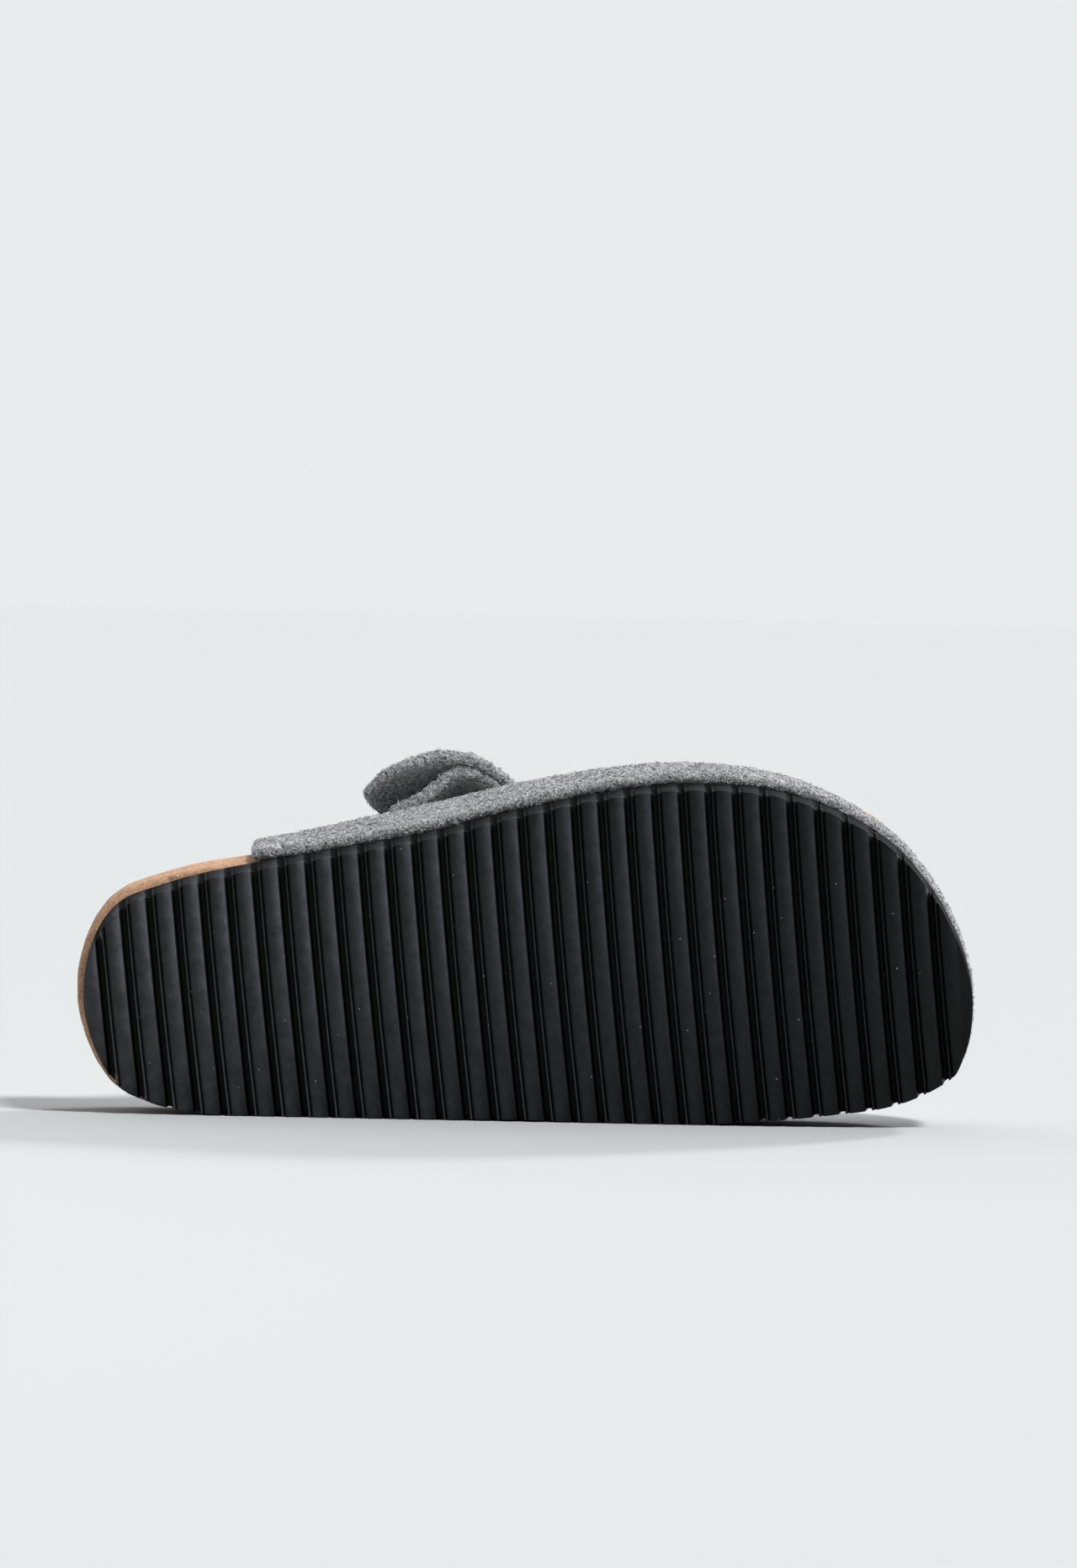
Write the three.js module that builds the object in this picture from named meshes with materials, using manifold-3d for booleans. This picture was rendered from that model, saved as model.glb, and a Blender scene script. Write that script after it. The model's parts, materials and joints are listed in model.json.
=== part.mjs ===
// A felt mule clog for the right foot, lying on its medial side.
// The shoe is modelled upright: x from heel to toe, y to the medial side, z up from the tread.
// A group then lays it down on the three points of its own shape that it rests on.

import * as THREE from 'three';
import { mergeVertices } from 'three/addons/utils/BufferGeometryUtils.js';
import { ConvexHull } from 'three/addons/math/ConvexHull.js';
import Module from 'manifold-3d';

const wasm = await Module();
wasm.setup();

// Driving sizes of the shoe, in millimetres
const soleLength = 284.6;
const ballWidth = 107.4;
const instepHeight = 92;
const feltWall = 3;
const fitGap = 0.3;

// Outsole and its ripple bars
const outsoleThickness = 14;
const edgeFlare = 0.9;
const toeSpring = 6;
const springStart = 0.66;
const barPitch = 8.545;
const firstGroove = 7.6;
const grooveDepth = 5;
const grooveWidth = 2.95;
const grooveRake = 1.4;
const barLand = 3.6;
const barDrop = 0.5;
const lateralFlute = 1.5;
const medialFlute = 0.4;
const barSlant = THREE.MathUtils.degToRad(5.4);
const barCurveRadius = 2000;

// Cork footbed and its lining
const rimRise = 23;
const corkGap = 0.8;
const rimWidth = 3.5;
const cupRun = 26;
const seatRise = 9;
const insoleThickness = 1.8;
const archRise = 7;

// Upper
const lateralRear = 55;
const medialRear = 68;
const throatPlace = 100;
const toeRun = 36;
const toeStart = 0.55;
const toeTuck = 2.2;
const collarMargin = 14;
const hemCrowding = 0.9;
const sideSwell = 3.4;
const hemReach = 3;

// Instep strap, buckle tab and buckle
const strapWidth = 35;
const strapMedialPlace = 131.5;
const strapLateralPlace = 124.8;
const strapRootHeight = 37;
const strapTipHeight = 44;
const strapTipRound = 5;
const strapStandOff = 11.5;
const strapEndSpread = 14.5;
const tabStart = 0.74;
const tabEnd = 0.99;
const tabFront = 0.14;
const tabRear = 0.86;
const tabRamp = 0.08;
const tabStandOff = 10.3;
const buckleStart = 0.58;
const buckleEnd = 0.7;
const buckleWire = 2.6;
const buckleClearance = 1;
const buckleCorner = 1.6;
const prongWidth = 2.4;
const prongThickness = 1.6;
const prongFlat = 0.1;

// Widths of the outsole's top edge, as shares of its length and of the ball width.
const soleOutline = [
  { at: 0.012, lateral: 0.155, medial: 0.155 },
  { at: 0.040, lateral: 0.264, medial: 0.277 },
  { at: 0.090, lateral: 0.317, medial: 0.339 },
  { at: 0.145, lateral: 0.357, medial: 0.362 },
  { at: 0.295, lateral: 0.429, medial: 0.372 },
  { at: 0.390, lateral: 0.475, medial: 0.377 },
  { at: 0.485, lateral: 0.538, medial: 0.378 },
  { at: 0.580, lateral: 0.590, medial: 0.387 },
  { at: 0.670, lateral: 0.617, medial: 0.393 },
  { at: 0.765, lateral: 0.604, medial: 0.384 },
  { at: 0.836, lateral: 0.549, medial: 0.368 },
  { at: 0.906, lateral: 0.442, medial: 0.344 },
  { at: 0.953, lateral: 0.300, medial: 0.297 },
  { at: 0.985, lateral: 0.145, medial: 0.235 },
];
const heelTip = { at: 0, lateral: 0.0 };
const toeTip = { at: 1, lateral: -0.035 };

// How far the felt's hem stands outside the outsole's edge, as shares of hemReach.
const hemLine = [
  { at: 0.00, lateral: 2.00, medial: 2.00 },
  { at: 0.07, lateral: 1.95, medial: 1.80 },
  { at: 0.13, lateral: 1.75, medial: 1.05 },
  { at: 0.19, lateral: 1.25, medial: 0.30 },
  { at: 0.26, lateral: 0.97, medial: 0.00 },
  { at: 0.50, lateral: 0.97, medial: 0.00 },
  { at: 0.67, lateral: 0.97, medial: 0.00 },
  { at: 0.84, lateral: 0.70, medial: -0.10 },
  { at: 0.95, lateral: 0.30, medial: -0.25 },
  { at: 1.00, lateral: -0.10, medial: -0.10 },
];

// Sections of the upper from heel to toe. The crown is a share of the instep height, the ridge
// a share of the ball width, the swells are shares of sideSwell, and side and top say how full
// the wall and the roof are between hem and ridge.
const lastSections = [
  { at: 0.00, crown: 1.00, ridge: 0.00, lateral: 0.70, medial: 0.70, side: 0.45, top: 0.50 },
  { at: 0.20, crown: 1.02, ridge: 0.00, lateral: 2.60, medial: 1.00, side: 0.48, top: 0.42 },
  { at: 0.36, crown: 1.00, ridge: 0.00, lateral: 4.80, medial: 1.50, side: 0.48, top: 0.42 },
  { at: 0.48, crown: 0.93, ridge: 0.02, lateral: 4.80, medial: 1.50, side: 0.48, top: 0.46 },
  { at: 0.60, crown: 0.80, ridge: 0.03, lateral: 4.15, medial: 1.40, side: 0.52, top: 0.52 },
  { at: 0.72, crown: 0.69, ridge: 0.03, lateral: 3.20, medial: 1.20, side: 0.55, top: 0.58 },
  { at: 0.82, crown: 0.61, ridge: 0.02, lateral: 1.95, medial: 1.00, side: 0.58, top: 0.62 },
  { at: 0.88, crown: 0.57, ridge: 0.00, lateral: 1.20, medial: 0.90, side: 0.60, top: 0.64 },
  { at: 1.00, crown: 0.50, ridge: -0.03, lateral: 0.70, medial: 0.70, side: 0.62, top: 0.64 },
];

// The footbed from heel to toe: its rim, its seat and its arch, as shares of the heights above
const footbedLine = [
  { at: 0.00, rim: 1.00, seat: 1.00, arch: 0.00 },
  { at: 0.22, rim: 1.00, seat: 1.00, arch: 0.00 },
  { at: 0.34, rim: 0.97, seat: 1.00, arch: 0.75 },
  { at: 0.42, rim: 0.90, seat: 0.98, arch: 1.00 },
  { at: 0.54, rim: 0.74, seat: 0.93, arch: 0.50 },
  { at: 0.66, rim: 0.58, seat: 0.89, arch: 0.00 },
  { at: 0.76, rim: 0.56, seat: 0.89, arch: 0.00 },
  { at: 1.00, rim: 0.56, seat: 0.89, arch: 0.00 },
];

// The collar line seen from the side: places behind the throat as shares of the way from
// the quarter's rear end to the throat, and heights as shares of the instep height.
const collarLine = [
  { back: 0.00, height: 0.32 },
  { back: 0.06, height: 0.45 },
  { back: 0.30, height: 0.52 },
  { back: 0.62, height: 0.62 },
  { back: 0.88, height: 0.82 },
  { back: 1.00, height: 1.15 },
];

// How the strap's free end and the tab under it bow away from the upper, from the strap's
// front edge to its rear edge, as shares of their stand-off.
const endBow = [
  { at: 0.00, strap: 0.00, tab: 0.00 },
  { at: 0.14, strap: 0.27, tab: 0.22 },
  { at: 0.25, strap: 0.72, tab: 0.73 },
  { at: 0.37, strap: 0.91, tab: 0.94 },
  { at: 0.48, strap: 1.00, tab: 0.66 },
  { at: 0.61, strap: 0.98, tab: 0.32 },
  { at: 0.82, strap: 0.86, tab: 0.05 },
  { at: 0.93, strap: 0.65, tab: 0.00 },
  { at: 1.00, strap: 0.46, tab: 0.00 },
];

// A smooth curve through one column of a table
function along(table, column, at) {
  const last = table.length - 1;
  const clamped = THREE.MathUtils.clamp(at, table[0].at, table[last].at);
  let row = 0;
  while (row < last - 1 && table[row + 1].at < clamped) row += 1;
  const slope = (index) => {
    const before = table[Math.max(index - 1, 0)];
    const after = table[Math.min(index + 1, last)];
    return (after[column] - before[column]) / (after.at - before.at);
  };
  const start = table[row];
  const end = table[row + 1];
  const span = end.at - start.at;
  const t = (clamped - start.at) / span;
  const t2 = t * t;
  const t3 = t2 * t;
  return (2 * t3 - 3 * t2 + 1) * start[column]
    + (t3 - 2 * t2 + t) * span * slope(row)
    + (3 * t2 - 2 * t3) * end[column]
    + (t3 - t2) * span * slope(row + 1);
}

const smoothStep = (value, low, high) => THREE.MathUtils.smoothstep(value, low, high);

// The outline of the outsole's top edge as a closed curve. Here y is the lateral side.
const outlineSteps = 480;
const soleCurve = new THREE.CatmullRomCurve3([
  new THREE.Vector3(heelTip.at * soleLength, heelTip.lateral * ballWidth, 0),
  ...soleOutline.map((row) => new THREE.Vector3(row.at * soleLength, row.lateral * ballWidth, 0)),
  new THREE.Vector3(toeTip.at * soleLength, toeTip.lateral * ballWidth, 0),
  ...[...soleOutline].reverse().map((row) => (
    new THREE.Vector3(row.at * soleLength, -row.medial * ballWidth, 0))),
], true, 'centripetal');

// The outline moved outwards by a distance, as a list of points
function outlineAt(reach) {
  const points = [];
  for (let step = 0; step < outlineSteps; step += 1) {
    const share = step / outlineSteps;
    const point = soleCurve.getPoint(share);
    const tangent = soleCurve.getTangent(share);
    points.push(new THREE.Vector2(point.x - tangent.y * reach, point.y + tangent.x * reach));
  }
  return points;
}

// Where a line across the shoe crosses an outline: its medial and its lateral end.
// The line is given by the x that it has at each place across.
function crossings(outline, lineAt) {
  const found = [];
  for (let step = 0; step < outline.length; step += 1) {
    const start = outline[step];
    const end = outline[(step + 1) % outline.length];
    const before = start.x - lineAt(start.y);
    const after = end.x - lineAt(end.y);
    if (before < 0 !== after < 0) {
      found.push(start.clone().lerp(end, before / (before - after)));
    }
  }
  found.sort((first, second) => first.y - second.y);
  return { medial: found[0], lateral: found[found.length - 1] };
}

// Half the outsole's width on one side
const halfWidth = (side, x) => ballWidth * along(soleOutline, side, x / soleLength);

const springHeight = (x) => {
  const run = Math.max(0, x / soleLength - springStart) / (1 - springStart);
  return toeSpring * run * run;
};
const soleTopHeight = (x) => outsoleThickness + springHeight(x);
const hemHeight = (x) => soleTopHeight(x) + fitGap;

// A closed body through rings of points. The first ring is capped, and the last one too
// unless its two halves meet.
function loft(rings, capEnd = true) {
  const size = rings[0].length;
  const positions = [];
  const triangles = [];
  for (const ring of rings) {
    for (const point of ring) positions.push(point.x, point.y, point.z);
  }
  for (let ring = 0; ring < rings.length - 1; ring += 1) {
    for (let side = 0; side < size; side += 1) {
      const next = (side + 1) % size;
      const a = ring * size + side;
      const b = ring * size + next;
      const c = a + size;
      const d = b + size;
      triangles.push(a, b, c, b, d, c);
    }
  }
  const cap = (start, flip) => {
    for (let low = 0, high = size - 1; low + 1 < high;) {
      const corners = [start + low, start + low + 1, start + high];
      triangles.push(...(flip ? corners.reverse() : corners));
      low += 1;
      if (low + 1 < high) {
        const others = [start + low, start + high - 1, start + high];
        triangles.push(...(flip ? others.reverse() : others));
        high -= 1;
      }
    }
  };
  cap(0, true);
  if (capEnd) cap((rings.length - 1) * size, false);
  const geometry = new THREE.BufferGeometry();
  geometry.setAttribute('position', new THREE.Float32BufferAttribute(positions, 3));
  geometry.setIndex(triangles);
  return geometry;
}

// A closed mesh as a solid that can be cut and joined
function solidOf(geometry) {
  const bare = geometry.clone();
  bare.deleteAttribute('normal');
  bare.deleteAttribute('uv');
  const merged = mergeVertices(bare, 1e-4);
  const index = merged.index.array;
  const kept = [];
  for (let corner = 0; corner < index.length; corner += 3) {
    const [a, b, c] = [index[corner], index[corner + 1], index[corner + 2]];
    if (a !== b && b !== c && c !== a) kept.push(a, b, c);
  }
  const mesh = new wasm.Mesh({
    numProp: 3,
    vertProperties: Float32Array.from(merged.attributes.position.array),
    triVerts: Uint32Array.from(kept),
  });
  const solid = new wasm.Manifold(mesh);
  return solid.volume() < 0 ? new wasm.Manifold(flipped(mesh)) : solid;
}

function flipped(mesh) {
  const triVerts = Uint32Array.from(mesh.triVerts);
  for (let corner = 0; corner < triVerts.length; corner += 3) {
    const kept = triVerts[corner + 1];
    triVerts[corner + 1] = triVerts[corner + 2];
    triVerts[corner + 2] = kept;
  }
  return new wasm.Mesh({ numProp: 3, vertProperties: mesh.vertProperties, triVerts });
}

function geometryOf(solid) {
  const mesh = solid.getMesh();
  const geometry = new THREE.BufferGeometry();
  geometry.setAttribute('position', new THREE.BufferAttribute(Float32Array.from(mesh.vertProperties), 3));
  geometry.setIndex(new THREE.BufferAttribute(Uint32Array.from(mesh.triVerts), 1));
  geometry.computeVertexNormals();
  return geometry;
}

// A point of the shoe from its place along, its lateral place and its height
const shoePoint = (x, lateral, z) => new THREE.Vector3(x, -lateral, z);

// Outsole: slanted sections, one at each corner of the ripple bars
const topEdge = outlineAt(0);
const treadEdge = outlineAt(-edgeFlare);
const treadCentre = soleLength / 2;
const barLine = (start) => (lateral) => (
  start - Math.tan(barSlant) * lateral + (lateral * lateral) / (2 * barCurveRadius));
const spreadToTop = (start) => (
  treadCentre + (start - treadCentre) * (treadCentre / (treadCentre - edgeFlare)));

function treadCorners() {
  const corners = [];
  const half = grooveWidth / 2;
  const landBack = barPitch - half - barLand;
  for (let middle = firstGroove; middle < soleLength - barPitch; middle += barPitch) {
    corners.push({ start: middle - half, depth: 0 });
    corners.push({ start: middle - half + grooveRake, depth: grooveDepth });
    corners.push({ start: middle + half - grooveRake / 4, depth: grooveDepth });
    corners.push({ start: middle + half, depth: barDrop });
    corners.push({ start: middle + landBack, depth: 0 });
  }
  return corners;
}

function depthAt(corners, start) {
  const next = corners.findIndex((corner) => corner.start >= start);
  if (next < 1) return 0;
  const low = corners[next - 1];
  const high = corners[next];
  return THREE.MathUtils.mapLinear(start, low.start, high.start, low.depth, high.depth);
}

// The grooves run up the side of the outsole as shallow flutes
function outsoleRing(start, depth) {
  const acrossSteps = 4;
  const low = crossings(treadEdge, barLine(start));
  const high = crossings(topEdge, barLine(spreadToTop(start)));
  const share = depth / outsoleThickness;
  const medial = low.medial.clone().lerp(high.medial, share);
  const lateral = low.lateral.clone().lerp(high.lateral, share);
  if (depth > barDrop) {
    medial.y += medialFlute;
    lateral.y -= lateralFlute;
  }
  const line = barLine(THREE.MathUtils.lerp(start, spreadToTop(start), share));
  const ring = [];
  for (let step = 0; step <= acrossSteps; step += 1) {
    const across = THREE.MathUtils.lerp(medial.y, lateral.y, step / acrossSteps);
    ring.push(shoePoint(line(across), across, depth + springHeight(line(across))));
  }
  ring.push(shoePoint(high.lateral.x, high.lateral.y, soleTopHeight(high.lateral.x)));
  ring.push(shoePoint(high.medial.x, high.medial.y, soleTopHeight(high.medial.x)));
  return ring;
}

function outsole() {
  const corners = treadCorners();
  const reachOfLine = (point) => point.x - barLine(0)(point.y);
  const heelEnd = Math.min(...treadEdge.map(reachOfLine));
  const toeEnd = Math.max(...treadEdge.map(reachOfLine));
  const leastStep = 0.03;
  const tipSteps = [0.06, 0.9, 2.6];
  const starts = [
    ...tipSteps.map((step) => heelEnd + step),
    ...corners.map((corner) => corner.start),
    ...tipSteps.map((step) => toeEnd - step),
  ].filter((start) => start > heelEnd + leastStep && start < toeEnd - leastStep);
  starts.sort((first, second) => first - second);
  const apart = starts.filter((start, place) => (
    place === 0 || start - starts[place - 1] > leastStep));
  return loft(apart.map((start) => outsoleRing(start, depthAt(corners, start))));
}

// The side of the last: a hem point on the outsole's edge, moved out by the hem's reach
const towardsToe = (x) => () => x;
const tipInset = 0.3;
const toeEdge = topEdge.reduce((tip, point) => (point.x > tip.x ? point : tip));
const atToeTip = (x) => x > toeEdge.x - tipInset / 2;
function edgePoint(x, side) {
  if (atToeTip(x)) return { edge: toeEdge.clone(), out: new THREE.Vector2(1, 0) };
  const edge = crossings(topEdge, towardsToe(x))[side];
  const step = Math.min(2 * tipInset, x / 2, (toeEdge.x - x) / 2);
  const back = crossings(topEdge, towardsToe(x - step))[side];
  const front = crossings(topEdge, towardsToe(x + step))[side];
  const tangent = front.sub(back).normalize();
  const out = new THREE.Vector2(-tangent.y, tangent.x);
  if (side === 'medial') out.negate();
  return { edge, out };
}

// The outer face of the upper's form: up is 0 at the hem and 1 at the ridge
function lastPoint(x, side, up) {
  const at = x / soleLength;
  const { edge, out } = edgePoint(x, side);
  const reach = hemReach * along(hemLine, side, at);
  const hem = edge.clone().addScaledVector(out, reach);
  const toeShare = smoothStep(at, toeStart, 1);
  const ridgeX = x - toeRun * toeShare ** toeTuck;
  const ridgeAcross = ballWidth * along(lastSections, 'ridge', at);
  const low = hemHeight(hem.x);
  const crown = instepHeight * along(lastSections, 'crown', ridgeX / soleLength) + springHeight(ridgeX);
  const rise = crown - low;
  const swell = sideSwell * along(lastSections, side, at);
  const belly = hem.clone().addScaledVector(out, swell);
  const ridge = new THREE.Vector2(ridgeX, ridgeAcross);
  const shoulder = ridge.clone().lerp(hem, along(lastSections, 'top', at));
  const curve = new THREE.CubicBezierCurve3(
    shoePoint(hem.x, hem.y, low),
    shoePoint(belly.x, belly.y, low + rise * along(lastSections, 'side', at)),
    shoePoint(shoulder.x, shoulder.y, crown),
    shoePoint(ridge.x, ridge.y, crown),
  );
  return curve.getPoint(up);
}

// The outward direction of that face, shared by both sides at the toe's tip
function sideNormal(x, side, up) {
  const step = 0.01;
  const stride = 0.5;
  const back = Math.max(x - stride, tipInset / 2);
  const front = Math.min(x + stride, soleLength);
  const alongStep = lastPoint(front, side, up).sub(lastPoint(back, side, up));
  const upStep = lastPoint(x, side, Math.min(up + step, 1)).sub(lastPoint(x, side, Math.max(up - step, 0)));
  const normal = alongStep.cross(upStep).normalize();
  return side === 'lateral' ? normal : normal.negate();
}
function lastNormal(x, side, up) {
  if (!atToeTip(x)) return sideNormal(x, side, up);
  return sideNormal(x, 'lateral', up).add(sideNormal(x, 'medial', up)).normalize();
}

// A point of the form, moved along its normal
const offLast = (x, side, up, distance) => (
  lastPoint(x, side, up).addScaledVector(lastNormal(x, side, up), distance));

// The share of the way up at which a face has a height, found by halving the way again and again
function upAtHeight(faceAt, height) {
  const halvings = 24;
  let low = 0;
  let high = 1;
  for (let turn = 0; turn < halvings; turn += 1) {
    const middle = (low + high) / 2;
    if (faceAt(middle).z < height) low = middle;
    else high = middle;
  }
  return (low + high) / 2;
}

// Places along the upper, closer together towards the toe
const upperStart = lateralRear - collarMargin;
function upperStations() {
  const count = 30;
  const stations = [];
  for (let station = 0; station <= count; station += 1) {
    const turn = Math.sin((station / count) * Math.PI / 2);
    stations.push(THREE.MathUtils.lerp(upperStart, soleLength, turn));
  }
  return stations;
}

// Upper: one shell of felt from hem over the ridge to hem, closed round the toe
function upper() {
  const upSteps = 9;
  const rings = [];
  for (const x of upperStations()) {
    const outer = [];
    const inner = [];
    const add = (side, step) => {
      const up = (step / upSteps) ** hemCrowding;
      const face = lastPoint(x, side, up);
      const back = offLast(x, side, up, -feltWall);
      if (step === 0) back.z = hemHeight(back.x);
      outer.push(face);
      inner.push(back);
    };
    for (let step = 0; step <= upSteps; step += 1) add('lateral', step);
    for (let step = upSteps - 1; step >= 0; step -= 1) add('medial', step);
    rings.push([...outer, ...inner.reverse()]);
  }
  return solidOf(loft(rings, false)).subtract(solidOf(collarCut()));
}

// What the open heel and collar take away: a prism across the shoe, slanted in plan because
// the lateral quarter reaches further back than the medial one
function collarCut() {
  const reach = 160;
  const high = instepHeight * 2;
  const run = throatPlace - lateralRear;
  const cut = new THREE.Shape();
  cut.moveTo(-reach, 0);
  cut.lineTo(lateralRear, 0);
  const points = collarLine.map((row) => (
    new THREE.Vector2(lateralRear + row.back * run, row.height * instepHeight)));
  cut.lineTo(points[0].x, points[0].y);
  cut.splineThru(points.slice(1));
  cut.lineTo(throatPlace, high);
  cut.lineTo(-reach, high);
  const prism = new THREE.ExtrudeGeometry(cut, { depth: 2 * reach, bevelEnabled: false, curveSegments: 6 });
  const place = prism.attributes.position;
  const lateralEdge = halfWidth('lateral', lateralRear);
  const medialEdge = halfWidth('medial', medialRear);
  for (let corner = 0; corner < place.count; corner += 1) {
    const lateral = place.getZ(corner) - reach;
    const slant = (medialRear - lateralRear) * (lateralEdge - lateral) / (lateralEdge + medialEdge);
    const x = place.getX(corner) + slant;
    const height = place.getY(corner);
    place.setXYZ(corner, x, -lateral, height);
  }
  return prism;
}

// Footbed: the rim's height above the outsole
const rimHeight = (x) => rimRise * along(footbedLine, 'rim', x / soleLength);

// The cork's side follows the inner face of the felt, with a gap
function corkSide(x, side, height) {
  const faceAt = (up) => offLast(x, side, up, -feltWall - corkGap);
  return faceAt(upAtHeight(faceAt, height)).setZ(height);
}

// Height of the footbed's top: a cup at the heel, an arch on the medial side, a flat forefoot
function footbedTop(x, lateral, rimDistance) {
  const at = x / soleLength;
  const seat = seatRise * along(footbedLine, 'seat', at);
  const wall = rimHeight(x) - seat;
  const fade = 1 - THREE.MathUtils.clamp(rimDistance / cupRun, 0, 1);
  const medialShare = smoothStep(-lateral, 0, halfWidth('medial', x));
  const arch = archRise * medialShare * along(footbedLine, 'arch', at) * (1 - fade * fade);
  return soleTopHeight(x) + seat + wall * fade * fade + arch;
}

// Places along the shoe: close together at the heel's tip, and the upper's own from there on
function footbedStations() {
  const heelSteps = 9;
  const heel = [];
  for (let step = 0; step < heelSteps; step += 1) {
    const turn = 1 - Math.cos((step / heelSteps) * Math.PI / 2);
    heel.push(THREE.MathUtils.lerp(tipInset, upperStart, turn));
  }
  return [...heel, ...upperStations().slice(0, -1)];
}

// A row of points on the footbed's top from the medial to the lateral rim
function footbedRow(x, lift) {
  const ends = {};
  for (const side of ['medial', 'lateral']) {
    const rim = corkSide(x, side, soleTopHeight(x) + rimHeight(x));
    const { out } = edgePoint(x, side);
    ends[side] = new THREE.Vector2(rim.x, -rim.y).addScaledVector(out, -rimWidth);
  }
  if (ends.lateral.y < ends.medial.y) {
    const middle = ends.lateral.clone().add(ends.medial).multiplyScalar(0.5);
    ends.lateral.copy(middle);
    ends.medial.copy(middle);
  }
  const row = [];
  for (let step = 0; step <= footbedSteps; step += 1) {
    const flat = ends.medial.clone().lerp(ends.lateral, step / footbedSteps);
    const rimDistance = Math.min(...topEdge.map((point) => point.distanceTo(flat))) - rimWidth;
    row.push(shoePoint(flat.x, flat.y, footbedTop(flat.x, flat.y, Math.max(rimDistance, 0)) + lift));
  }
  return row;
}

const footbedSteps = 6;
function footbed() {
  const rings = footbedStations().map((x) => {
    const low = soleTopHeight(x) + fitGap;
    const high = soleTopHeight(x) + rimHeight(x);
    const middle = (low + high) / 2;
    const medial = [low, middle, high].map((height) => corkSide(x, 'medial', height));
    const lateral = [high, middle, low].map((height) => corkSide(x, 'lateral', height));
    medial[0].z = hemHeight(medial[0].x);
    lateral[2].z = hemHeight(lateral[2].x);
    return [...medial, ...footbedRow(x, 0), ...lateral];
  });
  return solidOf(loft(rings));
}

function insole() {
  const rings = footbedStations().slice(1, -1).map((x) => {
    const under = footbedRow(x, fitGap);
    const over = footbedRow(x, fitGap + insoleThickness);
    return [...under, ...over.reverse()];
  });
  return solidOf(loft(rings));
}

// A point over the upper on the strap's way: way is 0 at the medial root, a half on the
// ridge and 1 at the free end, and across is 0 at the front edge and 1 at the rear edge
function strapPlace(way, across, lift) {
  const release = smoothStep(way, tabStart, 1);
  const middle = THREE.MathUtils.lerp(strapMedialPlace, strapLateralPlace, way);
  const x = middle + (0.5 - across) * strapWidth - strapEndSpread * across * release;
  const side = way < 0.5 ? 'medial' : 'lateral';
  const corner = strapTipRound * Math.abs(2 * across - 1) ** 3;
  const endHeight = (side === 'medial' ? strapRootHeight : strapTipHeight) + corner;
  const end = upAtHeight((up) => lastPoint(x, side, up), endHeight);
  return offLast(x, side, THREE.MathUtils.lerp(1, end, Math.abs(2 * way - 1)), lift);
}

// The strap's inner face rides over the tab, and bows out at the free end
function strapLift(way, across) {
  const rampEnd = tabStart - tabRamp / 4;
  const onTab = smoothStep(way, rampEnd - tabRamp, rampEnd) * smoothStep(across, 0, tabFront * 0.8);
  const bow = strapStandOff * along(endBow, 'strap', across) * smoothStep(way, tabStart, 1);
  return fitGap + onTab * (feltWall + fitGap) + bow;
}
const tabLift = (way, across) => (
  fitGap + tabStandOff * along(endBow, 'tab', across) * smoothStep(way, tabStart, 1));

// A felt strip over the upper between two ways and two places across
const stripStep = { way: 0.036, across: 0.125 };
function feltStrip(lift, ways, sides) {
  const waySteps = Math.ceil((ways.end - ways.start) / stripStep.way);
  const acrossSteps = Math.ceil((sides.rear - sides.front) / stripStep.across);
  const rings = [];
  for (let step = 0; step <= waySteps; step += 1) {
    const way = THREE.MathUtils.lerp(ways.start, ways.end, step / waySteps);
    const outer = [];
    const inner = [];
    for (let side = 0; side <= acrossSteps; side += 1) {
      const across = THREE.MathUtils.lerp(sides.front, sides.rear, side / acrossSteps);
      outer.push(strapPlace(way, across, lift(way, across) + feltWall));
      inner.push(strapPlace(way, across, lift(way, across)));
    }
    rings.push([...outer, ...inner.reverse()]);
  }
  return solidOf(loft(rings));
}
const instepStrap = () => feltStrip(strapLift, { start: 0, end: 1 }, { front: 0, rear: 1 });
const buckleTab = () => feltStrip(
  tabLift, { start: tabStart, end: tabEnd }, { front: tabFront, rear: tabRear });

// Buckle: a rounded frame on the strap, its two end bars seated on the felt
const strapFace = (way, across) => strapPlace(way, across, strapLift(way, across) + feltWall);

function buckleSeat() {
  const upperBar = strapFace(buckleStart, 0.5);
  const lowerBar = strapFace(buckleEnd, 0.5);
  const length = upperBar.distanceTo(lowerBar);
  const rising = upperBar.clone().sub(lowerBar).normalize();
  const middle = (buckleStart + buckleEnd) / 2;
  const forward = strapFace(middle, 0).sub(strapFace(middle, 1)).normalize();
  const out = forward.clone().cross(rising).normalize();
  const front = rising.clone().cross(out).normalize();
  const centre = upperBar.clone().add(lowerBar).multiplyScalar(0.5);
  const overBar = [];
  const halfBar = 0.02;
  for (const way of [buckleStart, buckleEnd]) {
    for (let across = 0; across <= 1; across += stripStep.across) {
      for (const nudge of [-halfBar, 0, halfBar]) {
        overBar.push(strapFace(way + nudge, across).sub(centre).dot(out));
      }
    }
  }
  centre.addScaledVector(out, Math.max(...overBar) + fitGap);
  return { centre, length, basis: new THREE.Matrix4().makeBasis(front, rising, out) };
}

function roundedRectangle(path, width, height, radius) {
  const x = width / 2;
  const y = height / 2;
  path.moveTo(-x + radius, -y);
  path.lineTo(x - radius, -y);
  path.absarc(x - radius, -y + radius, radius, -Math.PI / 2, 0, false);
  path.lineTo(x, y - radius);
  path.absarc(x - radius, y - radius, radius, 0, Math.PI / 2, false);
  path.lineTo(-x + radius, y);
  path.absarc(-x + radius, y - radius, radius, Math.PI / 2, Math.PI, false);
  path.lineTo(-x, -y + radius);
  path.absarc(-x + radius, -y + radius, radius, Math.PI, Math.PI * 1.5, false);
  return path;
}

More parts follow.
